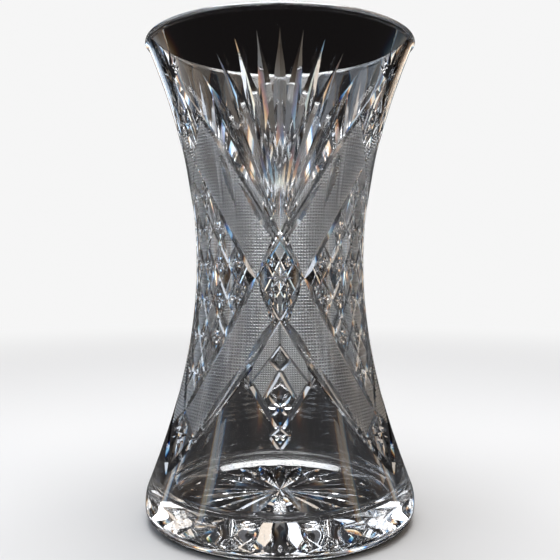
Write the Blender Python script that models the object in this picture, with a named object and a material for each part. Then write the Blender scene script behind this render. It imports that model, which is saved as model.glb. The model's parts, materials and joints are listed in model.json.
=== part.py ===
"""A cut crystal vase: one turned vessel with a thick base, cut with mitre wheels.

The vase stands on z = 0 with its axis on Z. Metres.
"""

from math import cos, pi, radians, sin, tan

import bmesh
import bpy
from mathutils import Vector

# Vessel
HEIGHT = 0.300
RIM_RADIUS = 0.0853
WAIST_RADIUS = 0.0532
WAIST_HEIGHT = 0.160
FOOT_RADIUS = 0.0850  # widest point of the foot
FLARE_END = 0.020  # the lower flare ends here and the foot rounds under
FLARE_END_RADIUS = 0.0837
FLARE_EASE = 0.1  # straightens the flare towards its ends
REST_RADIUS = 0.0755  # flat underside
FOOT_ROUNDING = 0.0095
RIM_WALL = 0.0060
BASE_WALL = 0.0092
FLOOR_THICKNESS = 0.017
FLOOR_FILLET = 0.008
RIM_ROUNDING = 0.0024

TURN_STEPS = 60
OUTER_STEPS = 14
INNER_STEPS = 9
ARC_STEPS = 4

# Cut pattern: three repeats round the vase, each a mirror image of itself about its middle
REPEATS = 3
CUT_HALF_ANGLE = radians(57)  # of the V that a mitre wheel leaves
CUTTER_LIFT = 0.0012  # how far a cutter stands out of the glass

# Two bands cross at the front of each repeat and again halfway to the next one. Every
# knot is (degrees round from the repeat's middle, height); each band has two mitre cuts.
BAND_EDGES = (
    ((60, 0.270), (0, 0.173), (-15, 0.1517), (-60, 0.072), (-75, 0.059)),
    ((75, 0.2455), (60, 0.221), (15, 0.1517), (0, 0.128), (-60, 0.036)),
)
BAND_CUT_DEPTH = 0.0020
BAND_CUT_STEP = radians(9)

FAN_BASE = 0.188
FAN_TIP = 0.288  # top of the middle ray
FAN_RAYS = 9
FAN_SPREAD = 9.2  # degrees between rays at their tips
FAN_DROP = 0.0165  # how much lower the outermost tips are
FAN_CUT_DEPTH = 0.0016
FAN_STEPS = 4

STAR_RAYS = 24  # on the underside
STAR_RADIUS = 0.058
STAR_INNER = 0.006
STAR_CUT_DEPTH = 0.0028
STAR_WIDEST = 0.62  # where along a ray its cut is deepest

SHARP_ANGLE = radians(25)  # the cuts' edges are crisp, the turned shape is smooth
GLASS_COLOUR = (0.90, 0.92, 0.93, 1.0)
GLASS_IOR = 1.55


def clear_scene():
    for thing in list(bpy.data.objects):
        bpy.data.objects.remove(thing, do_unlink=True)


def flare(reach):
    """Share of a flare's full growth at this share of its length."""
    return (1 + FLARE_EASE) * reach**2 - FLARE_EASE * reach**4


def outer_radius(height):
    """Radius of the uncut outside, from the waist out to the rim or the foot."""
    if height >= WAIST_HEIGHT:
        reach = (height - WAIST_HEIGHT) / (HEIGHT - WAIST_HEIGHT)
        return WAIST_RADIUS + (RIM_RADIUS - WAIST_RADIUS) * flare(reach)
    reach = (WAIST_HEIGHT - height) / (WAIST_HEIGHT - FLARE_END)
    return WAIST_RADIUS + (FLARE_END_RADIUS - WAIST_RADIUS) * flare(reach)


def inner_radius(height):
    wall = BASE_WALL + (RIM_WALL - BASE_WALL) * height / HEIGHT
    return outer_radius(height) - wall


def arc(centre, radius, first, last, steps):
    """Points on an arc in the (radius, height) plane, angles in degrees from +radius."""
    turns = [radians(first + (last - first) * i / steps) for i in range(steps + 1)]
    return [(centre[0] + radius * cos(t), centre[1] + radius * sin(t)) for t in turns]


def bend(start, corner, end, steps):
    """Points inside a quadratic curve from start to end, pulled towards corner."""
    shares = [i / steps for i in range(1, steps)]
    return [
        tuple(
            (1 - t) ** 2 * a + 2 * t * (1 - t) * b + t**2 * c
            for a, b, c in zip(start, corner, end)
        )
        for t in shares
    ]


def vessel_profile():
    """The half section from the floor's middle, up the inside, over the rim and down the outside."""
    rim_inner = inner_radius(HEIGHT)
    fillet_top = FLOOR_THICKNESS + FLOOR_FILLET
    fillet_radius = inner_radius(fillet_top)
    floor_edge = (fillet_radius - FLOOR_FILLET, FLOOR_THICKNESS)
    profile = [(0.0, FLOOR_THICKNESS), floor_edge]
    profile += bend(
        floor_edge,
        (fillet_radius + 0.001, FLOOR_THICKNESS),
        (fillet_radius, fillet_top),
        ARC_STEPS,
    )
    top = HEIGHT - RIM_ROUNDING
    for i in range(INNER_STEPS + 1):
        height = fillet_top + (top - fillet_top) * i / INNER_STEPS
        profile.append((inner_radius(height), height))
    profile += arc((rim_inner + RIM_ROUNDING, top), RIM_ROUNDING, 150, 90, 2)
    profile += arc((RIM_RADIUS - RIM_ROUNDING, top), RIM_ROUNDING, 90, 0, 3)
    for i in range(1, OUTER_STEPS + 1):
        height = top + (FLARE_END - top) * i / OUTER_STEPS
        profile.append((outer_radius(height), height))
    belly = (FOOT_RADIUS, FOOT_ROUNDING)
    profile += bend((FLARE_END_RADIUS, FLARE_END), (FOOT_RADIUS, 0.0165), belly, 3)
    profile += arc((REST_RADIUS, FOOT_ROUNDING), FOOT_ROUNDING, 0, -90, ARC_STEPS)
    profile.append((0.0, 0.0))
    return profile


def mesh_object(name, verts, edges, faces):
    mesh = bpy.data.meshes.new(name)
    mesh.from_pydata(verts, edges, faces)
    thing = bpy.data.objects.new(name, mesh)
    bpy.context.collection.objects.link(thing)
    return thing


def turned_vessel(name):
    profile = vessel_profile()
    edges = [(i, i + 1) for i in range(len(profile) - 1)]
    vessel = mesh_object(name, [(r, 0.0, z) for r, z in profile], edges, [])
    screw = vessel.modifiers.new("turn", "SCREW")
    screw.steps = screw.render_steps = TURN_STEPS
    screw.use_merge_vertices = True
    screw.merge_threshold = 0.00001
    return vessel


def on_glass(degrees, height):
    """Point and outward direction on the uncut outside. A repeat's middle faces -Y at 0 degrees."""
    turn = radians(degrees) - pi / 2
    small = 0.0005
    slope = (outer_radius(height + small) - outer_radius(height - small)) / (2 * small)
    round_about = Vector((cos(turn), sin(turn), 0))
    outward = (round_about - Vector((0, 0, slope))).normalized()
    return round_about * outer_radius(height) + Vector((0, 0, height)), outward


def v_cutter(name, points, outwards, depths, collection):
    """A V-shaped bar whose tip runs below the points by the depths, with its open side outwards."""
    spread = tan(CUT_HALF_ANGLE)
    verts = []
    for i, (point, outward, depth) in enumerate(zip(points, outwards, depths)):
        along = points[min(i + 1, len(points) - 1)] - points[max(i - 1, 0)]
        side = along.cross(outward).normalized() * (depth + CUTTER_LIFT) * spread
        top = point + outward * CUTTER_LIFT
        verts += [point - outward * depth, top + side, top - side]
    faces = [(0, 1, 2), tuple(len(verts) - i for i in (1, 2, 3))]
    for ring in range(0, len(verts) - 3, 3):
        for a, b in ((0, 1), (1, 2), (2, 0)):
            faces.append((ring + a, ring + 3 + a, ring + 3 + b, ring + b))
    cutter = mesh_object(name, verts, [], faces)
    shape = bmesh.new()
    shape.from_mesh(cutter.data)
    bmesh.ops.recalc_face_normals(shape, faces=shape.faces)
    shape.to_mesh(cutter.data)
    shape.free()
    cutter.hide_render = True
    cutter.display_type = "WIRE"
    bpy.context.collection.objects.unlink(cutter)
    collection.objects.link(cutter)


def knots_to_path(knots, step):
    """Evenly spaced (degrees, height) along straight lines between the knots."""
    path = [knots[0]]
    for (a0, h0), (a1, h1) in zip(knots, knots[1:]):
        count = max(1, round(abs(radians(a1 - a0)) / step))
        for i in range(1, count + 1):
            path.append((a0 + (a1 - a0) * i / count, h0 + (h1 - h0) * i / count))
    return path


def cut_on_glass(name, path, depths, collection):
    placed = [on_glass(degrees, height) for degrees, height in path]
    points = [point for point, _ in placed]
    outwards = [outward for _, outward in placed]
    v_cutter(name, points, outwards, depths, collection)


def band_cutters(collection):
    """The long mitre cuts along both edges of every crossing band."""
    for repeat in range(REPEATS):
        middle = 360 / REPEATS * repeat
        for edge, knots in enumerate(BAND_EDGES):
            for hand in (1, -1):
                path = knots_to_path(
                    [(middle + hand * angle, height) for angle, height in knots],
                    BAND_CUT_STEP,
                )
                depths = [BAND_CUT_DEPTH] * len(path)
                depths[0] = depths[-1] = 0.0004
                name = f"band_cut_{repeat}_{edge}_{'right' if hand > 0 else 'left'}"
                cut_on_glass(name, path, depths, collection)


def fan_cutters(collection):
    """Rays that spread from one point above the crossing, each deepest near its middle."""
    half = FAN_RAYS // 2
    for repeat in range(REPEATS):
        middle = 360 / REPEATS * repeat
        for ray in range(-half, half + 1):
            tip_height = FAN_TIP - FAN_DROP * (abs(ray) / half) ** 1.5
            base_height = FAN_BASE + 0.004 * abs(ray)
            path, depths = [], []
            for i in range(FAN_STEPS + 1):
                share = i / FAN_STEPS
                angle = middle + ray * FAN_SPREAD * (0.12 + 0.88 * share)
                path.append((angle, base_height + (tip_height - base_height) * share))
                depths.append(FAN_CUT_DEPTH * 4 * share * (1 - share) - 0.0002)
            cut_on_glass(f"fan_cut_{repeat}_{ray + half}", path, depths, collection)


def star_cutters(collection):
    """The many-rayed star ground into the underside."""
    down = Vector((0, 0, -1))
    shares = (0, STAR_WIDEST, 1)
    depths = (STAR_CUT_DEPTH * 0.45, STAR_CUT_DEPTH, -0.0002)
    for ray in range(STAR_RAYS):
        turn = 2 * pi * ray / STAR_RAYS - pi / 2
        away = Vector((cos(turn), sin(turn), 0))
        points = [
            away * (STAR_INNER + (STAR_RADIUS - STAR_INNER) * share) for share in shares
        ]
        v_cutter(f"star_cut_{ray}", points, [down] * 3, depths, collection)


def keep_result(thing):
    """Puts what the modifiers make into the object's own mesh, so that its edges can be marked sharp."""
    graph = bpy.context.evaluated_depsgraph_get()
    made = bpy.data.meshes.new_from_object(thing.evaluated_get(graph))
    thing.modifiers.clear()
    thing.data = made


def crystal_material():
    glass = bpy.data.materials.new("lead_crystal")
    glass.use_nodes = True
    shader = glass.node_tree.nodes["Principled BSDF"]
    shader.inputs["Base Color"].default_value = GLASS_COLOUR
    shader.inputs["Metallic"].default_value = 0.0
    shader.inputs["Roughness"].default_value = 0.03
    shader.inputs["IOR"].default_value = GLASS_IOR
    shader.inputs["Transmission Weight"].default_value = 1.0
    return glass


def main():
    clear_scene()
    vessel = turned_vessel("vase_body")
    cutters = bpy.data.collections.new("cutters")
    bpy.context.scene.collection.children.link(cutters)
    band_cutters(cutters)
    fan_cutters(cutters)
    star_cutters(cutters)
    cuts = vessel.modifiers.new("cuts", "BOOLEAN")
    cuts.operation = "DIFFERENCE"
    cuts.solver = "EXACT"
    cuts.operand_type = "COLLECTION"
    cuts.collection = cutters
    keep_result(vessel)
    vessel.data.materials.append(crystal_material())
    vessel.data.shade_smooth()
    vessel.data.set_sharp_from_angle(angle=SHARP_ANGLE)


main()
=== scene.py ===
import json
import math

import bmesh
import bpy
import numpy as np
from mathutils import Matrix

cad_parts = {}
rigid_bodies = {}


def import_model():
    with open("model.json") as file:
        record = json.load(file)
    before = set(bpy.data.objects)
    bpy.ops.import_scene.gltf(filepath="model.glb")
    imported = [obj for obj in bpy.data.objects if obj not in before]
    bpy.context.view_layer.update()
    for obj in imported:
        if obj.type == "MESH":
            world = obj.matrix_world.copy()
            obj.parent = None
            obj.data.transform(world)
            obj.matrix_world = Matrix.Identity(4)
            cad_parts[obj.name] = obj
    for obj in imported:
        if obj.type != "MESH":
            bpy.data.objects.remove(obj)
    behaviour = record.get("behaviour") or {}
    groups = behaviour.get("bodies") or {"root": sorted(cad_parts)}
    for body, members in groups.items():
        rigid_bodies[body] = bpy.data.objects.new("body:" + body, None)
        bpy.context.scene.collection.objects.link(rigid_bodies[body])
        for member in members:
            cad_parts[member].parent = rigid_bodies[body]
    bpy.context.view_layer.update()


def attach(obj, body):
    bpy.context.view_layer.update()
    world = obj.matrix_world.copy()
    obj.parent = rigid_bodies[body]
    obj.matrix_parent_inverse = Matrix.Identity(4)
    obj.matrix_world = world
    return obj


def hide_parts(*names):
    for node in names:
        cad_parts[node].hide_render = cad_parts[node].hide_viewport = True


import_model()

# Lengths are millimetres until a mesh is made. The outside is first a flat sheet: across it
# runs the angle round the vase, laid out as arc length at the waist, up it runs height, and
# depth counts into the glass. The sheet is cut flat and then wrapped round the vessel.

vessel = {
    "height": 300.0,
    "rimRadius": 85.3,
    "waistRadius": 53.2,
    "waistHeight": 160.0,
    "footRadius": 85.0,  # widest point of the foot
    "flareEnd": 20.0,  # below this the foot rounds under
    "flareEndRadius": 83.7,
    "flareEase": 0.1,  # straightens the flare towards its ends
    "bellyPull": 16.5,  # height of the corner that the belly's curve is pulled towards
    "restRadius": 75.5,  # flat underside
    "footRounding": 9.5,
    "rimWall": 6.0,
    "baseWall": 9.2,
    "floor": 17.0,
    "floorFillet": 8.0,
    "rimRounding": 2.9,
    "columns": 144,  # round the whole vessel
    "wallRings": 23,  # up the inner wall
}

sheet = {
    "repeats": 3,
    "half": 60.0,  # degrees from the middle of a repeat to its edge
    "layoutRadius": 54.0,  # radius that turns degrees into distance across the sheet
    "low": 29.0,
    "high": 293.0,
    "rows": 22,
    "thickness": 5.0,
    "lift": 1.0,  # how far cutters stand out of the glass
    "wheel": math.tan(math.radians(57)),  # half width of a mitre cut over its depth
}
perDegree = math.radians(1) * sheet["layoutRadius"]  # sheet millimetres to a degree


def flare(reach):
    # growth of a flare: mostly the square of the reach, less a little of its fourth power
    return (1 + vessel["flareEase"]) * reach**2 - vessel["flareEase"] * reach**4


def outerRadius(height):
    # waist radius plus the upper flare above the waist, or plus the lower flare below it
    up = (height - vessel["waistHeight"]) / (vessel["height"] - vessel["waistHeight"])
    down = (vessel["waistHeight"] - height) / (vessel["waistHeight"] - vessel["flareEnd"])
    top = (vessel["rimRadius"] - vessel["waistRadius"]) * flare(up)
    low = (vessel["flareEndRadius"] - vessel["waistRadius"]) * flare(down)
    return vessel["waistRadius"] + np.where(height >= vessel["waistHeight"], top, low)


def outerSlope(height):
    # change of the outer radius for each millimetre of height
    return (outerRadius(height + 0.2) - outerRadius(height - 0.2)) / 0.4


def innerRadius(height):
    # the outer radius less a wall that thins evenly from base to rim
    wall = vessel["baseWall"] + (vessel["rimWall"] - vessel["baseWall"]) * height / vessel["height"]
    return outerRadius(height) - wall


# Each flat cutter is (vertices, faces).


def ringFaces(rings, corners):
    # quads between neighbouring rings of equally many corners, and a face on each end
    ring, corner = np.meshgrid(np.arange(rings - 1), np.arange(corners), indexing="ij")
    a = ring * corners + corner
    b = ring * corners + (corner + 1) % corners
    sides = np.stack([a, a + corners, b + corners, b], -1).reshape(-1, 4).tolist()
    first = list(range(corners))
    last = [(rings - 1) * corners + corner for corner in reversed(range(corners))]
    return sides + [first, last]


def vBar(path, depth):
    # a V profile carried along the path, its tip at each point's depth and its open side outwards
    along = (path[-1] - path[0]) / np.linalg.norm(path[-1] - path[0])
    side = np.array([-along[1], along[0]])
    half = ((depth + sheet["lift"]) * sheet["wheel"])[:, None]
    tip = np.stack([path[:, 0], depth, path[:, 1]], -1)
    lifted = np.full(len(path), -sheet["lift"])
    left, right = path + side * half, path - side * half
    left = np.stack([left[:, 0], lifted, left[:, 1]], -1)
    right = np.stack([right[:, 0], lifted, right[:, 1]], -1)
    return np.stack([tip, left, right], 1).reshape(-1, 3), ringFaces(len(path), 3)


def place(degrees, height):
    # a knot of (degrees, height) as a point of the sheet
    return np.array([degrees * perDegree, height])


def mitre(start, end, firstDepth, lastDepth, runOut=2.5, steps=10):
    # a straight mitre cut between two (degrees, height) knots, running on a little past both
    a, b = place(*start), place(*end)
    along = (b - a) / np.linalg.norm(b - a)
    share = np.linspace(0, 1, steps + 1)
    path = (a - along * runOut) + (b - a + 2 * runOut * along) * share[:, None]
    depth = firstDepth + (lastDepth - firstDepth) * share
    depth[[0, -1]] = 0.02  # its ends rise almost to the surface
    return vBar(path, depth)


def leaf(start, end, depth, widest=0.5, steps=8, ease=1.2):
    # a lens-shaped cut: the depth is a quarter sine wave up to the widest share of its length and
    # another one down, raised to the ease, which sharpens the ends
    a, b = place(*start), place(*end)
    share = np.linspace(0, 1, steps + 1)
    bent = np.where(share < widest, share / widest, (1 - share) / (1 - widest))
    arch = np.sin(bent * math.pi / 2) ** ease
    clear = 0.03  # the ends stand clear of the surface
    return vBar(a + (b - a) * share[:, None], depth * arch - clear)


def sprig(centre, rays, depth, widest=0.45):
    # leaves out of one point: rays are (degrees from straight up, length in millimetres)
    middle = place(*centre)
    cuts = []
    for angle, length in rays:
        lean = math.radians(angle)
        tip = middle + np.array([math.sin(lean), math.cos(lean)]) * length
        cuts.append(leaf(centre, (tip[0] / perDegree, tip[1]), depth, widest, 6))
    return cuts


def mirrored(cut, about):
    # the same cut on the other side of the line at this many degrees
    points = cut[0].copy()
    points[:, 0] = 2 * about * perDegree - points[:, 0]
    return points, [face[::-1] for face in cut[1]]


def prism(corners, low, high):
    # an outline of (degrees, height) corners, extruded in depth from low to high
    flat = np.array([place(*corner) for corner in corners])
    ahead = np.roll(flat, -1, 0)
    if (flat[:, 0] * ahead[:, 1] - ahead[:, 0] * flat[:, 1]).sum() < 0:
        flat = flat[::-1]
    ends = [np.stack([flat[:, 0], np.full(len(flat), y), flat[:, 1]], -1) for y in (low, high)]
    return np.concatenate(ends), ringFaces(2, len(flat))


def rules(across, low, high, start, end, rule):
    # ruled V cuts a pitch apart between low and high, carried from start to end; where the cuts
    # are narrower than the pitch, clear flats stay between them
    pitch = rule["across" if across else "up"]
    count = int((high - low) / pitch)
    middle = low + (np.arange(count) + 0.5) * pitch
    half = rule["width"] / 2
    if rule["width"] < pitch:
        brim = 0.1  # how far the ridges between cuts stand clear of the surface
        half *= 1 + brim / rule["depth"]
        run = (middle[:, None] + [-half, 0, half]).reshape(-1)
        teeth = np.tile([-brim, rule["depth"], -brim], count)
    else:
        run = low + np.arange(2 * count + 1) * pitch / 2
        sunk = 0.015  # keeps the ridges just under the surface
        teeth = np.where(np.arange(2 * count + 1) % 2 == 0, 0.0, rule["depth"]) + sunk
    run = np.concatenate([run, [run[-1], run[0]]])
    teeth = np.concatenate([teeth, [-sheet["lift"]] * 2])
    rings = [np.stack([run, teeth, np.full(len(run), z)], -1) for z in (start, end)]
    points, faces = np.concatenate(rings), ringFaces(2, len(run))
    return (points, faces) if across else (points[:, [2, 1, 0]], [face[::-1] for face in faces])


def makeObject(name, points, faces):
    # a new object with one mesh
    mesh = bpy.data.meshes.new(name)
    mesh.from_pydata(np.asarray(points).tolist(), [], faces)
    made = bpy.data.objects.new(name, mesh)
    bpy.context.scene.collection.objects.link(made)
    return made


def turnedOut(thing):
    # a cutter's faces have to point outwards, whichever way its path ran
    shape = bmesh.new()
    shape.from_mesh(thing.data)
    if shape.calc_volume(signed=True) < 0:
        bmesh.ops.reverse_faces(shape, faces=shape.faces)
    shape.to_mesh(thing.data)
    shape.free()
    return thing


def drop(thing):
    # removes an object and its mesh
    mesh = thing.data
    bpy.data.objects.remove(thing)
    bpy.data.meshes.remove(mesh)


def combine(target, operation, cuts):
    # one Boolean of the target with all the cuts, left in the target's own mesh
    group = bpy.data.collections.new("cuts")
    bpy.context.scene.collection.children.link(group)
    for number, cut in enumerate(cuts):
        cutter = turnedOut(makeObject(f"cut{number}", *cut))
        bpy.context.scene.collection.objects.unlink(cutter)
        group.objects.link(cutter)
    boolean = target.modifiers.new("boolean", "BOOLEAN")
    boolean.operation, boolean.solver = operation, "MANIFOLD"
    boolean.operand_type, boolean.collection = "COLLECTION", group
    graph = bpy.context.evaluated_depsgraph_get()
    made = bpy.data.meshes.new_from_object(target.evaluated_get(graph))
    target.modifiers.clear()
    old, target.data = target.data, made
    bpy.data.meshes.remove(old)
    for cutter in list(group.objects):
        drop(cutter)
    bpy.data.collections.remove(group)
    return target


def meshArrays(thing):
    # the mesh as (points, triangles)
    shape = bmesh.new()
    shape.from_mesh(thing.data)
    bmesh.ops.triangulate(shape, faces=shape.faces, quad_method="BEAUTY", ngon_method="BEAUTY")
    mesh = bpy.data.meshes.new("arrays")
    shape.to_mesh(mesh)
    shape.free()
    points = np.empty(len(mesh.vertices) * 3)
    mesh.vertices.foreach_get("co", points)
    corners = np.empty(len(mesh.loops), np.int32)
    mesh.loops.foreach_get("vertex_index", corners)
    bpy.data.meshes.remove(mesh)
    return points.reshape(-1, 3), corners.reshape(-1, 3)


# The pattern is half of one repeat, from its middle at 0 degrees to its edge at 60.

bands = {
    "top": (0, 173.0),  # the two bands cross in a diamond round (0, 152)
    "side": (15, 151.7),
    "bottom": (0, 128.0),
    "highPeak": (60, 270.0),  # and again with the next repeat's bands, high and low
    "highNotch": (60, 220.6),
    "highSide": (45, 245.5),
    "lowNotch": (60, 72.0),
    "lowPeak": (60, 36.0),
    "lowSide": (45, 59.2),
    "narrow": 0.55,
    "middling": 0.9,
    "wide": 1.35,
    "fanSide": 1.05,  # depth at the foot of the cut beside the fan
    "pendantMeet": (15.5, 104.2),  # where the cuts below the diamond stop and go on again
    "pendantLeave": (13, 108.1),
    "leaves": [  # start, end, depth, widest share
        ((1.6, 170.5), (27, 210.5), 1.7, 0.4),
        ((20.5, 104.5), (45, 60.5), 1.6, 0.5),
        ((2.4, 172.8), (14.2, 153.5), 1.45, 0.5),
        ((1.8, 130.5), (22, 100.5), 1.5, 0.4),
        ((2.6, 128.2), (14.0, 150.0), 1.45, 0.5),
    ],
    "shortLeaf": ((27.2, 190.0), (36.5, 229.0), 2.0, 0.55),
    "patches": [  # outlines of the ruled stretches, above and below the crossing
        [(15, 151.7), (60, 221), (45, 245.5), (20.5, 205.0), (4.6, 176.0), (9.2, 164.5)],
        [(15, 151.7), (60, 72), (45, 59.2), (17.5, 101.0), (4.8, 124.5), (9.4, 139.0)],
    ],
}


def bandCuts():
    # mitre cuts along both edges of each band, and leaves beside and across them
    b = bands
    return [
        mitre(b["top"], b["highPeak"], b["fanSide"], b["wide"]),
        mitre(b["top"], b["side"], b["narrow"], b["narrow"]),
        mitre(b["bottom"], b["side"], b["narrow"], b["narrow"]),
        mitre(b["side"], b["highNotch"], b["wide"], b["narrow"]),
        mitre(b["side"], b["lowNotch"], b["wide"], b["wide"]),
        mitre(b["bottom"], b["pendantMeet"], b["narrow"], b["middling"]),
        mitre(b["pendantLeave"], b["lowPeak"], b["wide"], b["wide"]),
        mitre(b["highNotch"], b["highSide"], b["narrow"], b["narrow"]),
        mitre(b["lowNotch"], b["lowSide"], b["middling"], b["narrow"]),
    ] + [leaf(*one) for one in b["leaves"]] + [leaf(*b["shortLeaf"], 6)]


fan = {
    "base": 177.5,
    "tips": [(0, 288.0), (9.2, 286.5), (18.4, 283.0), (27.6, 277.0), (37.5, 268.0)],
    "depth": 2.0,
    "widest": 0.68,
    "ease": 1.7,
    "strayFrom": 0.0,  # share of the way up where the strays start
    "strayDepth": 0.85,
    "streakFrom": 0.06,
    "streakDepth": 0.45,
    "strays": [(4.6, 262.0), (13.8, 259.0), (23, 254.0), (33, 246.0)],  # tips between the long rays
    "streaks": [(2.2, 236.0), (6.8, 239.0), (11.4, 235.0), (16.0, 237.0), (20.6, 231.0), (26, 227.0)],
}


def fanCuts():
    # long rays from the foot of the fan, and shorter and shallower ones between them
    f = fan
    cuts = []
    for tips, share, depth, steps in (
        (f["tips"], 0.0, f["depth"], 12),
        (f["strays"], f["strayFrom"], f["strayDepth"], 8),
        (f["streaks"], f["streakFrom"], f["streakDepth"], 6),
    ):
        for degrees, height in tips:
            start = (degrees * share, f["base"] + (height - f["base"]) * share)
            cuts.append(leaf(start, (degrees, height), depth, f["widest"], steps, f["ease"]))
    return cuts


centreStar = {
    "middle": (0, 152.0),
    "rays": [(0, 11.5), (40, 7.6), (90, 8.6), (140, 7.6), (180, 9.5)],
    "depth": 0.48,
    "leaf": ((4.6, 146.5), (0.9, 131.0), 0.9, 0.4),
}


def centreCuts():
    # the star in the diamond where the bands cross, and a leaf in the diamond's lower half
    cuts = sprig(centreStar["middle"], centreStar["rays"], centreStar["depth"])
    return cuts + [leaf(*centreStar["leaf"])]


pendant = {
    "top": (0, 114.0),
    "side": (15.7, 93.0),
    "bottom": (0, 68.5),
    "cross": (0, 100.3),
    "innerTop": (6.2, 106.2),
    "innerLow": (8.6, 84.5),
    "star": (0, 80.3),
    "rays": [(0, 12.5), (42, 8.5), (90, 7.0), (138, 8.0), (180, 12.0)],
    "rayDepth": 0.95,
    "drop": (0, 64.6),
    "dropRays": [(0, 3.4), (60, 3.4), (120, 3.4), (180, 4.4)],
    "dropTop": (0, 69.6),
    "dropSide": (4.4, 65.2),
    "dropLow": (0, 58.6),
    "patchTop": [(0.6, 127.0), (15.2, 104.6), (15.5, 94.0), (0.6, 113.8)],  # ruled, above the pendant
}


def pendantCuts():
    # the pendant's outline, the lozenges inside it, its star and the small drop below
    p = pendant
    cuts = [
        mitre(p["top"], p["side"], 0.6, 0.6),
        mitre(p["side"], p["bottom"], 1.1, 1.1, 1.2),
        mitre(p["innerTop"], p["cross"], 1.05, 1.05, 0.6),
        mitre(p["cross"], p["innerLow"], 1.05, 0.7, 0.6),
        mitre(p["dropTop"], p["dropSide"], 0.55, 0.55, 0.5),
        mitre(p["dropSide"], p["dropLow"], 0.8, 0.8, 0.5),
    ]
    cuts += sprig(p["star"], p["rays"], p["rayDepth"])
    return cuts + sprig(p["drop"], p["dropRays"], 0.6)


lattice = {
    "cells": 7,  # along each side of the side panel
    "cut": 0.62,
    "rays": [(0, 7.2), (35, 4.6), (90, 4.4), (145, 4.6), (180, 7.2), (215, 4.6), (270, 4.4), (325, 4.6)],
}


def latticeKnot(s, t):
    # where the rising line that starts s of the way down the left side meets the falling line
    # that is its mirror image for t
    left, top, low = (np.array(bands[name]) for name in ("side", "highNotch", "lowNotch"))
    right = np.array([2 * sheet["half"] - left[0], left[1]])
    startA, endA = left + (low - left) * s, top + (right - top) * s
    startB, endB = right + (low - right) * t, top + (left - top) * t
    u, v = endA - startA, endB - startB
    gap = startB - startA
    share = (gap[0] * v[1] - gap[1] * v[0]) / (u[0] * v[1] - u[1] * v[0])
    return startA + u * share


def latticeCuts():
    # crossing lines between the side panel's cells, and stars in every other cell
    cuts = []
    cells = lattice["cells"]
    for number in range(1, cells):
        s = number / cells
        rising = mitre(latticeKnot(s, 0.0), latticeKnot(s, 1.0), lattice["cut"], lattice["cut"], 0.5, 16)
        cuts += [rising, mirrored(rising, sheet["half"])]
    for row in range(cells):
        for column in range(row + 1):
            middle = latticeKnot((row + 0.5) / cells, (column + 0.5) / cells)
            if (row + column) % 2:
                cuts += latticeStar(middle)
    return cuts


def latticeStar(middle):
    # a star in one cell, and its mirror image beyond the edge of the half repeat
    cuts = sprig(middle, lattice["rays"], lattice["cut"])
    return cuts + [mirrored(cut, sheet["half"]) for cut in cuts]


crossings = {  # ray angles are negative towards the middle of the repeat
    "highStar": (60, 243.5),
    "highRays": [(0, 15), (-36, 11), (-90, 8.5), (-144, 10), (180, 15)],
    "lowStar": (60, 59.5),
    "lowRays": [(0, 9.5), (-50, 8.0), (-90, 8.6), (-125, 8.6), (-155, 12), (180, 18)],
    "sprayFoot": (60, 268.0),
    "sprayRays": [(0, 19), (-17, 17), (-34, 14.5), (-52, 11)],
}


def crossingCuts():
    # stars and a spray where one repeat's bands meet the next one's
    c = crossings
    cuts = sprig(c["highStar"], c["highRays"], 1.05)
    cuts += sprig(c["lowStar"], c["lowRays"], 0.95)
    cuts += sprig(c["sprayFoot"], c["sprayRays"], 0.9, widest=0.6)
    return cuts


hatch = {  # distance between rules across and up, then width and depth of a rule
    "band": {"across": 1.72, "up": 1.76, "width": 1.1, "depth": 0.46},
    "lattice": {"across": 1.7, "up": 1.7, "width": 1.7, "depth": 0.56},
    "pendant": {"across": 1.25, "up": 1.25, "width": 0.85, "depth": 0.36},
}

ruledArea = {
    "low": 28.0,
    "high": 292.0,
    "past": 8.0,  # how far upright rules run on above and below
    "beside": 3.0,  # and level ones on both sides
    "deep": 3.0,
}


def hatchPatches():
    # outlines of the patches that each kind of crossed rules fills: stretches of the bands, the
    # pendant's two lozenges, and the cells of the lattice that have no star
    p = pendant
    patches = {
        "band": bands["patches"],
        "pendant": [p["patchTop"], [p["side"], p["innerLow"], p["cross"], p["innerTop"]]],
        "lattice": [],
    }
    cells = lattice["cells"]
    for row in range(cells):
        for column in range(row + 1):
            if (row + column) % 2 == 0:
                sides = ((0, 0), (0, 1), (1, 1), (1, 0))
                outline = [latticeKnot((row + i) / cells, (column + j) / cells) for i, j in sides]
                patches["lattice"].append(outline)
    return patches


def plainSheet(columns, width):
    # a flat slab: a grid of points in front, the same one behind, and quads round the edge
    x = np.linspace(0, width, columns + 1)
    z = np.linspace(sheet["low"], sheet["high"], sheet["rows"] + 1)
    gridX, gridZ = np.meshgrid(x, z, indexing="ij")
    front = np.stack([gridX, np.zeros_like(gridX), gridZ], -1).reshape(-1, 3)
    back = front + [0, sheet["thickness"], 0]
    rows = len(z)
    start = (np.arange(columns)[:, None] * rows + np.arange(rows - 1)).reshape(-1)
    quads = np.stack([start, start + rows, start + rows + 1, start + 1], -1)
    edge = np.concatenate([
        np.arange(columns) * rows,
        columns * rows + np.arange(rows - 1),
        (np.arange(columns, 0, -1)) * rows + rows - 1,
        np.arange(rows - 1, 0, -1),
    ])
    ahead, total = np.roll(edge, -1), len(front)
    sides = np.stack([ahead, edge, edge + total, ahead + total], -1)
    faces = np.concatenate([quads, quads[:, ::-1] + total, sides]).tolist()
    return turnedOut(makeObject("sheet", np.concatenate([front, back]), faces))


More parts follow.
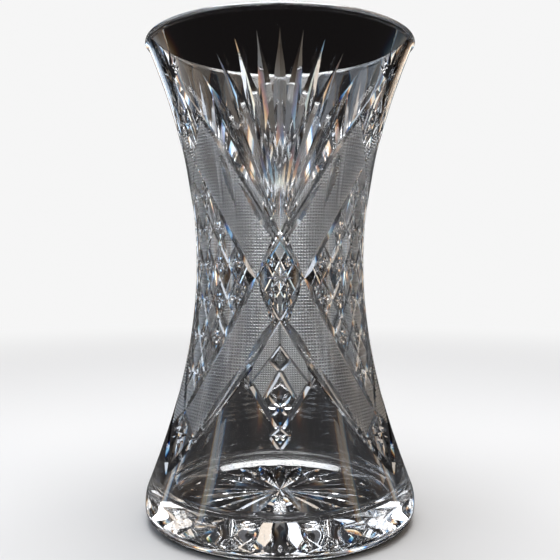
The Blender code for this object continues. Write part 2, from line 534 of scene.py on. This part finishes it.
def cutSheet():
    # the flat half repeat after every cut: points, triangles of its outer face, how ground each is
    columns = int(vessel["columns"] / sheet["repeats"] / 2)
    width = sheet["half"] * perDegree
    glass = plainSheet(columns, width)
    low, high, past, beside = (ruledArea[name] for name in ("low", "high", "past", "beside"))
    for kind, outlines in hatchPatches().items():
        rule = hatch[kind]
        prisms = [prism(outline, -2 * sheet["lift"], ruledArea["deep"]) for outline in outlines]
        across = rules(True, -rule["across"] / 2, width + beside, low - past, high + past, rule)
        upwards = rules(False, low, high, -beside, width + beside, rule)
        for number, cut in enumerate((across, upwards)):
            ruled = turnedOut(makeObject(f"ruled{number}", *cut))
            combine(ruled, "INTERSECT", [joinedPrisms(prisms)])
            mesh = ruled.data
            points = np.empty(len(mesh.vertices) * 3)
            mesh.vertices.foreach_get("co", points)
            cutFaces = [list(face.vertices) for face in mesh.polygons]
            combine(glass, "DIFFERENCE", [(points.reshape(-1, 3), cutFaces)])
            drop(ruled)
    cuts = bandCuts() + fanCuts() + centreCuts() + pendantCuts() + latticeCuts() + crossingCuts()
    combine(glass, "DIFFERENCE", cuts)
    points, triangles = meshArrays(glass)
    drop(glass)
    corners = points[triangles]
    tiny = 1e-4
    onEdge = (  # the slab's back and its four edges aren't part of the vase
        (corners[..., 0] < tiny).all(1)
        | (corners[..., 0] > width - tiny).all(1)
        | (corners[..., 2] < sheet["low"] + tiny).all(1)
        | (corners[..., 2] > sheet["high"] - tiny).all(1)
        | (corners[..., 1] > sheet["thickness"] - tiny).all(1)
    )
    triangles = triangles[~onEdge]
    return points, triangles, groundness(points[triangles])


def inside(spot, outline):
    # which spots lie inside an outline of (degrees, height) corners: an odd number of its sides
    # pass above them
    odd = np.zeros(len(spot), bool)
    corners = np.array([place(*corner) for corner in outline])
    for a, b in zip(corners, np.roll(corners, -1, 0)):
        crosses = (a[0] > spot[:, 0]) != (b[0] > spot[:, 0])
        share = (spot[:, 0] - a[0]) / (b[0] - a[0] if b[0] != a[0] else 1.0)
        odd ^= crosses & (a[1] + (b[1] - a[1]) * share > spot[:, 1])
    return odd


shine = {
    "flat": -1.0,  # clear flats between rules, which the material paints dark as shade
    "ruled": 1.0,
    "cut": 0.35,
    "crossing": 0.75,  # cuts that run over a patch of rules
    "fanFoot": 0.62,  # rays of the fan where they meet, fading to a plain cut
    "fanFade": 62.0,  # millimetres
    "rim": 0.12,
    "underside": 0.12,
    "levelLimit": 0.9995,  # a facet that faces straight out by more than this isn't a cut
    "leanLimit": 0.004,
    "skewLimit": 0.01,
}


def groundness(corners):
    # how ground each facet is, by where it is and how it leans; the clear flats between rules get a
    # negative mark, which the material paints dark as shade
    flat = np.cross(corners[:, 1] - corners[:, 0], corners[:, 2] - corners[:, 0])
    flat = np.abs(flat) / np.maximum(np.linalg.norm(flat, axis=1, keepdims=True), 1e-12)
    middle = corners.mean(1)[:, [0, 2]]
    patches = hatchPatches()
    between = np.zeros(len(flat), bool)
    for outline in patches["band"] + patches["pendant"]:
        between |= inside(middle, outline)
    ruled = np.zeros(len(flat), bool)
    for rule in hatch.values():
        slope = math.sin(math.atan2(rule["depth"], rule["width"] / 2))
        for axis in (0, 2):
            leans = np.abs(flat[:, axis] - slope) < shine["leanLimit"]
            ruled |= leans & (flat[:, 2 - axis] < shine["skewLimit"])
    fanned = inside(middle, [(-1, fan["base"] - 1), bands["highPeak"], (-1, 300)])
    fade = np.clip(1 - (middle[:, 1] - fan["base"]) / shine["fanFade"], 0, 1)
    cut = shine["cut"] + (shine["fanFoot"] - shine["cut"]) * fade * fanned
    cut = np.where(between, shine["crossing"], cut)
    # level facets between rules get the mark for painted shade
    level = np.where(between, shine["flat"], 0.0)
    return np.where(flat[:, 1] > shine["levelLimit"], level, np.where(ruled, shine["ruled"], cut))


def joinedPrisms(prisms):
    # the patches of rules as one mesh of separate prisms
    points, faces, start = [], [], 0
    for corner, face in prisms:
        points.append(corner)
        faces += [[index + start for index in each] for each in face]
        start += len(corner)
    return np.concatenate(points), faces


def wrapped(points, triangles, ground, repeat, hand):
    # angle from the distance across, radius less the depth, height nudged along the slope;
    # a facet's direction follows the same bend, so each flat facet stays flat-shaded
    start = math.radians(360 / sheet["repeats"] * repeat)
    angle = hand * points[:, 0] / sheet["layoutRadius"] + start
    radius, slope = outerRadius(points[:, 2]), outerSlope(points[:, 2])
    stretch = np.sqrt(1 + slope**2)
    reach = radius - points[:, 1] / stretch
    height = points[:, 2] + points[:, 1] * slope / stretch
    placed = np.stack([reach * np.sin(angle), -reach * np.cos(angle), height], -1)
    corners = points[triangles]
    flat = np.cross(corners[:, 1] - corners[:, 0], corners[:, 2] - corners[:, 0])
    flat /= np.maximum(np.linalg.norm(flat, axis=1, keepdims=True), 1e-12)
    a, r, k, m = angle[triangles], radius[triangles], slope[triangles], stretch[triangles]
    zero = np.zeros_like(a)
    east = np.stack([np.cos(a), np.sin(a), zero], -1) * (hand * sheet["layoutRadius"] / r)[..., None]
    out = np.stack([np.sin(a), -np.cos(a), -k], -1) / m[..., None]
    up = np.stack([np.sin(a) * k, -np.cos(a) * k, zero + 1], -1) / m[..., None] ** 2
    f = flat[:, None, :]
    facing = east * f[..., :1] - out * f[..., 1:2] + up * f[..., 2:]
    if hand < 0:
        return placed, triangles[:, ::-1], facing[:, ::-1], ground
    return placed, triangles, facing, ground


def gridTriangles(rings, columns):
    # two triangles to a quad, the columns joined up all the way round
    ring, column = np.meshgrid(np.arange(rings - 1), np.arange(columns), indexing="ij")
    a, b = ring * columns + column, ring * columns + (column + 1) % columns
    halves = [np.stack([a, a + columns, b + columns], -1), np.stack([a, b + columns, b], -1)]
    return np.stack(halves, 2).reshape(-1, 3)


def turned(radius, height, groundFrom=math.inf):
    # a profile of radii and heights carried round the axis, glass on its right-hand side, and
    # slightly ground above one height
    columns = vessel["columns"]
    angle = np.arange(columns) * 2 * math.pi / columns
    r, a = np.meshgrid(radius, angle, indexing="ij")
    placed = np.stack([r * np.sin(a), -r * np.cos(a), np.repeat(height[:, None], columns, 1)], -1)
    along = np.stack([np.gradient(radius), np.gradient(height)], -1)
    along /= np.linalg.norm(along, axis=1, keepdims=True)
    outR, outZ = -along[:, 1:2], along[:, :1]
    facing = np.stack([outR * np.sin(a), -outR * np.cos(a), outZ + 0 * a], -1).reshape(-1, 3)
    triangles = gridTriangles(len(radius), columns)
    placed = placed.reshape(-1, 3)
    ground = np.where(placed[triangles, 2].mean(1) > groundFrom, shine["rim"], 0.0)
    return placed, triangles, facing[triangles], ground


def arc(middleR, middleZ, size, first, last, steps):
    # part of a circle between two angles in degrees, counted from straight outwards
    turn = np.radians(np.linspace(first, last, steps + 1))
    return middleR + size * np.cos(turn), middleZ + size * np.sin(turn)


def bend(start, corner, end, steps):
    # quadratic curve from start to end, pulled towards the corner
    t = np.linspace(0, 1, steps + 1)[:, None]
    curve = (1 - t) ** 2 * np.array(start) + 2 * t * (1 - t) * np.array(corner) + t**2 * np.array(end)
    return curve[:, 0], curve[:, 1]


def joinProfile(*runs):
    # runs of (radii, heights) end to end, each run's first point dropped where it repeats
    radius, height = runs[0]
    for r, z in runs[1:]:
        skip = 1 if math.hypot(r[0] - radius[-1], z[0] - height[-1]) < 1e-6 else 0
        radius, height = np.concatenate([radius, r[skip:]]), np.concatenate([height, z[skip:]])
    return radius, height


def insideAndRim():
    # floor from the axis outwards, fillet, wall, over the rim and down to the cut sheet
    v = vessel
    filletTop = v["floor"] + v["floorFillet"]
    filletRadius = float(innerRadius(np.array(filletTop)))
    edge = filletRadius - v["floorFillet"]
    top = v["height"] - v["rimRounding"]
    heights = np.linspace(filletTop, top, v["wallRings"])
    rimInner = float(innerRadius(np.array(v["height"])))
    down = np.linspace(top, sheet["high"], 3)
    return joinProfile(
        (np.array([0.0, 1.5, edge * 0.5, edge * 0.97]), np.full(4, v["floor"])),
        bend((edge, v["floor"]), (filletRadius + 1.0, v["floor"]), (filletRadius, filletTop), 8),
        (innerRadius(heights), heights),
        arc(rimInner + v["rimRounding"], top, v["rimRounding"], 165, 90, 6),
        arc(v["rimRadius"] - v["rimRounding"], top, v["rimRounding"], 90, 0, 8),
        (outerRadius(down), down),
    )


def footAndRing():
    # from the cut sheet down the plain band, round the foot and in to the star
    v = vessel
    heights = np.linspace(sheet["low"], v["flareEnd"], 4)
    flareFoot = (v["flareEndRadius"], v["flareEnd"])
    corner = (v["footRadius"], v["bellyPull"])
    return joinProfile(
        (outerRadius(heights), heights),
        bend(flareFoot, corner, (v["footRadius"], v["footRounding"]), 6),
        arc(v["restRadius"], v["footRounding"], v["footRounding"], 0, -90, 10),
        (np.array([v["restRadius"] - 0.8, star["radius"] + 1.5]), np.zeros(2)),
    )


star = {
    "rays": 24,
    "radius": 58.0,
    "depth": 2.7,
    "bluntness": 7,  # how late along a ray its cut runs out
}


def underside():
    # polar grid whose middle columns follow the edges of the rays; height is how deep the V is
    # there, the depth at that radius less the distance from the ray's middle over the wheel's slope
    rings = np.concatenate([[star["radius"] + 1.5], np.linspace(star["radius"], 2.0, 26), [0.0]])
    depth = star["depth"] * np.clip(1 - (rings / star["radius"]) ** star["bluntness"], 0, 1)
    half = math.pi / star["rays"]
    edge = np.arcsin(np.clip(depth * sheet["wheel"] / np.maximum(rings, 1e-3), 0, 1))
    edge = np.where(depth > 0.05, np.clip(edge, half * 0.06, half * 0.94), half * 2 / 3)
    offset = np.stack([0 * edge, edge / 2, edge, 0 * edge + half, edge, edge / 2], -1)
    ray = np.concatenate([offset[:, :4], 2 * half - offset[:, 4:]], 1)
    angle = np.concatenate([ray + 2 * half * number for number in range(star["rays"])], 1)
    offset = np.tile(offset, (1, star["rays"]))
    r = rings[:, None]
    height = np.clip(depth[:, None] - r * np.sin(offset) / sheet["wheel"], 0, None)
    placed = np.stack([r * np.sin(angle), -r * np.cos(angle), height], -1).reshape(-1, 3)
    triangles = gridTriangles(len(rings), angle.shape[1])
    corners = placed[triangles]
    flat = np.cross(corners[:, 1] - corners[:, 0], corners[:, 2] - corners[:, 0])
    size = np.linalg.norm(flat, axis=1)
    keep = size > 1e-9
    flat = flat[keep] / size[keep, None]
    ground = np.where(flat[:, 2] > -0.999, shine["underside"], 0.0)
    return placed, triangles[keep], np.repeat(flat[:, None], 3, 1), ground


def weldedMesh(name, pieces):
    # the pieces as one closed mesh in metres, keeping the direction that each corner faces
    counts = np.cumsum([0] + [len(piece[0]) for piece in pieces])
    points = np.concatenate([piece[0] for piece in pieces]) / 1000
    triangles = np.concatenate([piece[1] + start for piece, start in zip(pieces, counts)])
    facing = np.concatenate([piece[2] for piece in pieces]).reshape(-1, 3)
    ground = np.concatenate([piece[3] for piece in pieces])
    mesh = bpy.data.meshes.new(name)
    mesh.vertices.add(len(points))
    mesh.vertices.foreach_set("co", points.reshape(-1).astype(np.float32))
    mesh.loops.add(triangles.size)
    mesh.loops.foreach_set("vertex_index", triangles.reshape(-1).astype(np.int32))
    mesh.polygons.add(len(triangles))
    mesh.polygons.foreach_set("loop_start", np.arange(0, triangles.size, 3, dtype=np.int32))
    mesh.update(calc_edges=True)
    kept = mesh.attributes.new("facing", "FLOAT_VECTOR", "CORNER")
    kept.data.foreach_set("vector", facing.reshape(-1).astype(np.float32))
    mesh.attributes.new("ground", "FLOAT", "FACE").data.foreach_set("value", ground.astype(np.float32))
    shape = bmesh.new()
    shape.from_mesh(mesh)
    seam = [vert for vert in shape.verts if vert.is_boundary or vert.is_wire or not vert.link_faces]
    bmesh.ops.remove_doubles(shape, verts=seam, dist=2e-6)
    bmesh.ops.dissolve_degenerate(shape, dist=3e-6, edges=shape.edges)
    unused = [vert for vert in shape.verts if not vert.link_faces]
    bmesh.ops.delete(shape, geom=unused, context="VERTS")
    loose = sum(not edge.is_manifold for edge in shape.edges)
    count = sum(len(face.verts) - 2 for face in shape.faces)
    print(name, count, "triangles,", loose, "open edges,", shape.calc_volume() * 1e6, "cm3")
    shape.to_mesh(mesh)
    shape.free()
    facing = np.empty(len(mesh.loops) * 3, np.float32)
    mesh.attributes["facing"].data.foreach_get("vector", facing)
    mesh.attributes.remove(mesh.attributes["facing"])
    mesh.shade_smooth()
    facing = facing.reshape(-1, 3)
    facing /= np.maximum(np.linalg.norm(facing, axis=1, keepdims=True), 1e-9)
    mesh.normals_split_custom_set(facing.tolist())
    made = bpy.data.objects.new(name, mesh)
    bpy.context.scene.collection.objects.link(made)
    return made


print("cutting the flat sheet")
flatSheet = cutSheet()
print("wrapping it round the vessel")
halves = [(repeat, hand) for repeat in range(sheet["repeats"]) for hand in (1, -1)]
pieces = [wrapped(*flatSheet, repeat, hand) for repeat, hand in halves]
print("turning the inside, the rim and the foot")
pieces.append(turned(*insideAndRim(), vessel["height"] - vessel["rimRounding"]))
pieces += [turned(*footAndRing()), underside()]
crystalVase = weldedMesh("crystal_vase", pieces)


class Wire:
    # a node's output; arithmetic on it adds Math nodes
    def __init__(self, graph, socket):
        self.graph, self.socket = graph, socket

    def __add__(self, other):
        return self.graph.maths("ADD", self, other)

    __radd__ = __add__

    def __sub__(self, other):
        return self.graph.maths("SUBTRACT", self, other)

    def __rsub__(self, other):
        return self.graph.maths("SUBTRACT", other, self)

    def __mul__(self, other):
        return self.graph.maths("MULTIPLY", self, other)

    __rmul__ = __mul__

    def __truediv__(self, other):
        return self.graph.maths("DIVIDE", self, other)

    def __pow__(self, other):
        return self.graph.maths("POWER", self, other)

    def ramp(self, low, high):
        # 0 below low, 1 above high, smooth between
        settings = {"interpolation_type": "SMOOTHSTEP"}
        values = {"Value": self, "From Min": low, "From Max": high}
        return self.graph.node("ShaderNodeMapRange", settings, values)


class Graph:
    # the nodes of one material or world, which start empty
    def __init__(self, owner):
        owner.use_nodes = True
        self.tree = owner.node_tree
        self.tree.nodes.clear()

    def node(self, kind, settings=None, sockets=None, output=0):
        # its settings come first, then a value or a link for each socket
        made = self.tree.nodes.new(kind)
        for name, value in (settings or {}).items():
            setattr(made, name, value)
        for name, value in (sockets or {}).items():
            if isinstance(value, Wire):
                self.tree.links.new(value.socket, made.inputs[name])
            else:
                made.inputs[name].default_value = value
        return Wire(self, made.outputs[output]) if made.outputs else None

    def maths(self, operation, *values):
        return self.node("ShaderNodeMath", {"operation": operation}, dict(enumerate(values)))

    def mix(self, share, first, second):
        # a colour between two colours
        return self.node("ShaderNodeMix", {"data_type": "RGBA"}, {0: share, 6: first, 7: second}, 2)

    def parts(self, vector):
        # a vector's three numbers
        return [self.node("ShaderNodeSeparateXYZ", None, {0: vector}, output) for output in range(3)]


crystal = {
    "colour": (0.965, 0.97, 0.975, 1),
    "cutColour": (0.80, 0.805, 0.815, 1),
    "flatPaintedShade": (0.22, 0.22, 0.23, 1),  # painted shade: the clear flats between rules are coloured dark grey
    "ior": 1.56,
    "polish": 0.004,  # roughness of clean polished glass
    "smudge": 0.015,
    "silver": 0.55,  # how mirror-like cuts are
    "facet": 0.28,  # roughness of the crossed rules, which are the least polished
    "restWear": 0.12,  # of the ring that the vase stands on
    "waveSize": 26.0,  # across the faint waves that blowing leaves, per metre
    "waveDepth": 0.00004,
}


def crystalMaterial():
    # clear glass whose colour, mirror and roughness follow how ground each facet is; the clear flats
    # between rules get a dark grey colour that is painted shade
    made = bpy.data.materials.new("cutCrystal")
    graph = Graph(made)
    spot = graph.node("ShaderNodeTexCoord", output=3)
    height = graph.parts(spot)[2]
    smear = graph.node("ShaderNodeTexNoise", None, {
        "Vector": spot,
        "Scale": 30.0,
        "Detail": 5.0,
        "Roughness": 0.6,
    })
    grit = graph.node("ShaderNodeTexNoise", None, {"Vector": spot, "Scale": 900.0, "Detail": 3.0})
    standing = 1 - height.ramp(0.0002, 0.0009)
    ground = graph.node("ShaderNodeAttribute", {"attribute_name": "ground"}, output=2)
    cut = ground.ramp(0.0, 0.45)
    # where the clear flats between rules are, whose colour is painted dark as shade
    flat = (0 - ground).ramp(0.5, 0.9)
    tint = graph.mix(cut, crystal["colour"], crystal["cutColour"])
    dulled = graph.maths("MAXIMUM", ground, 0.0) ** 2 * crystal["facet"]
    smeared = smear.ramp(0.5, 0.75) * crystal["smudge"]
    worn = standing * grit.ramp(0.4, 0.7) * crystal["restWear"]
    waves = graph.node("ShaderNodeTexNoise", None, {
        "Vector": spot,
        "Scale": crystal["waveSize"],
        "Detail": 1.0,
    })
    bump = graph.node("ShaderNodeBump", None, {"Height": waves, "Distance": crystal["waveDepth"]})
    shader = graph.node("ShaderNodeBsdfPrincipled", None, {
        # the base colour is painted dark as shade on the clear flats between rules
        "Base Color": graph.mix(flat, tint, crystal["flatPaintedShade"]),
        "Metallic": cut * crystal["silver"],
        "Roughness": dulled + smeared + worn + crystal["polish"],
        "IOR": crystal["ior"],
        "Transmission Weight": 1.0,
        "Normal": bump,
    })
    graph.node("ShaderNodeOutputMaterial", None, {"Surface": shader})
    return made


print("making the crystal")
crystalVase.data.materials.append(crystalMaterial())
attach(crystalVase, "root")
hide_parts("vase_body")

studio = {
    "floorReach": 3.0,
    "floorDrop": 0.0004,  # keeps the floor clear of the underside
    "paper": (0.66, 0.66, 0.66, 1),
    "backdrop": (0.92, 0.92, 0.92, 1),
    "fadeFrom": 0.35,  # distances over which the floor fades into the backdrop
    "fadeTo": 1.3,
    "table": (0.03, 0.029, 0.03, 1),  # what the glass sees of the floor
    "shade": (0.005, 0.0042, 0.0042),  # the unlit room
    "ceiling": (0.16, 0.16, 0.17),
    "ceilingFrom": 24.0,  # degrees of elevation
    "ceilingTo": 60.0,
    "lamp": (1.0, 1.02, 1.05),  # a bright patch straight above
    "lampFrom": 68.0,
    "bays": 8,  # directions that have a window and a strip light
    "cool": (1.1, 1.17, 1.28),
    "warm": (0.85, 0.74, 0.63),
    "fringe": 0.45,  # degrees between a light's red, green and blue edges
    "soft": 1.2,  # degrees over which the lamp's edge fades
    "lights": [  # width, lowest and highest elevation, softness of the edges, brightness
        (24.0, 27.0, 60.0, 1.2, 1.25),  # window
        (5.0, -9.0, 16.0, 1.2, 1.9),  # strip
        (16.0, -9.0, 16.0, 3.6, 0.3),  # glow beside the strip
    ],
}


def studioWorld():
    # the camera sees a plain pale backdrop; the glass sees a dark room with windows and strip
    # lights between the eight main directions and a bright ceiling; red, green and blue edges
    # lie a little apart, as heavy glass spreads them
    world = bpy.data.worlds.new("studio")
    bpy.context.scene.world = world
    graph = Graph(world)
    direction = graph.node("ShaderNodeTexCoord")
    east, north, up = graph.parts(direction)
    turn = graph.maths("ARCTAN2", east, north) * math.degrees(1)
    level = graph.maths("ARCSINE", up) * math.degrees(1)
    warm = east.ramp(-0.25, 0.25)
    spacing, soft = 360 / studio["bays"], studio["soft"]
    channels = []
    for channel, shift in enumerate((-1, 0, 1)):
        # away counts degrees from the middle of the nearest bay, rise counts degrees upwards
        across = (turn + studio["fringe"] * shift + 720) / spacing
        away = graph.maths("ABSOLUTE", graph.maths("FRACT", across) - 0.5) * spacing
        rise = level + studio["fringe"] * shift
        lights = 0
        for width, low, high, edge, brightness in studio["lights"]:
            beside = 1 - away.ramp(width / 2 - edge, width / 2 + edge)
            between = rise.ramp(low - edge, low + edge) * (1 - rise.ramp(high - edge, high + edge))
            lights = lights + beside * between * brightness
        cool = studio["cool"][channel]
        tint = cool + warm * (studio["warm"][channel] - cool)
        ceiling = rise.ramp(studio["ceilingFrom"], studio["ceilingTo"]) * studio["ceiling"][channel]
        lamp = rise.ramp(studio["lampFrom"] - soft, studio["lampFrom"] + soft) * studio["lamp"][channel]
        channels.append(lights * tint + ceiling + lamp + studio["shade"][channel])
    seen = graph.node("ShaderNodeCombineColor", None, dict(enumerate(channels)))
    colour = graph.mix(graph.node("ShaderNodeLightPath"), seen, studio["backdrop"])
    shader = graph.node("ShaderNodeBackground", None, {"Color": colour})
    graph.node("ShaderNodeOutputWorld", None, {"Surface": shader})


def studioFloor():
    # a pale disc that fades into the backdrop; what the glass sees of it is dark
    mesh = bpy.data.meshes.new("floor")
    shape = bmesh.new()
    bmesh.ops.create_circle(shape, cap_ends=True, segments=96, radius=studio["floorReach"])
    shape.to_mesh(mesh)
    shape.free()
    floor = bpy.data.objects.new("floor", mesh)
    floor.location.z = -studio["floorDrop"]
    bpy.context.scene.collection.objects.link(floor)
    made = bpy.data.materials.new("paper")
    graph = Graph(made)
    spot = graph.node("ShaderNodeTexCoord", output=3)
    distance = graph.node("ShaderNodeVectorMath", {"operation": "LENGTH"}, {0: spot}, 1)
    paper = graph.node("ShaderNodeBsdfDiffuse", None, {"Color": studio["paper"]})
    dark = graph.node("ShaderNodeEmission", None, {"Color": studio["table"]})
    far = graph.node("ShaderNodeEmission", None, {"Color": studio["backdrop"]})
    fade = distance.ramp(studio["fadeFrom"], studio["fadeTo"])
    pale = graph.node("ShaderNodeMixShader", None, {0: fade, 1: paper, 2: far})
    isCamera = graph.node("ShaderNodeLightPath")
    both = graph.node("ShaderNodeMixShader", None, {0: isCamera, 1: dark, 2: pale})
    graph.node("ShaderNodeOutputMaterial", None, {"Surface": both})
    floor.data.materials.append(made)


overhead = {
    "height": 1.2,
    "size": 0.9,
    "watts": 15.4,
}


def overheadLight():
    # a soft square light straight above, which lights the floor and throws the shadow
    light = bpy.data.lights.new("overhead", "AREA")
    light.size, light.energy = overhead["size"], overhead["watts"]
    made = bpy.data.objects.new("overhead", light)
    made.location.z = overhead["height"]
    made.visible_camera = False
    bpy.context.scene.collection.objects.link(made)


view = {
    "distance": 0.4777,
    "height": 0.1656,
    "lens": 47.8,
    "drop": -0.0466,  # keeps the camera level, with the horizon a little above the middle
}


def camera():
    # level, in front of the vase, about as close as a photographer would stand
    lens = bpy.data.cameras.new("camera")
    lens.lens, lens.shift_y, lens.clip_start = view["lens"], view["drop"], 0.01
    made = bpy.data.objects.new("camera", lens)
    made.location = (0, -view["distance"], view["height"])
    made.rotation_euler.x = math.pi / 2
    bpy.context.scene.collection.objects.link(made)
    bpy.context.scene.camera = made


print("lighting the studio")
studioWorld()
studioFloor()
overheadLight()
camera()
bpy.context.scene.view_settings.view_transform = "Standard"
cycles = bpy.context.scene.cycles
cycles.max_bounces, cycles.transmission_bounces, cycles.glossy_bounces = 32, 32, 16
cycles.caustics_reflective = cycles.caustics_refractive = False
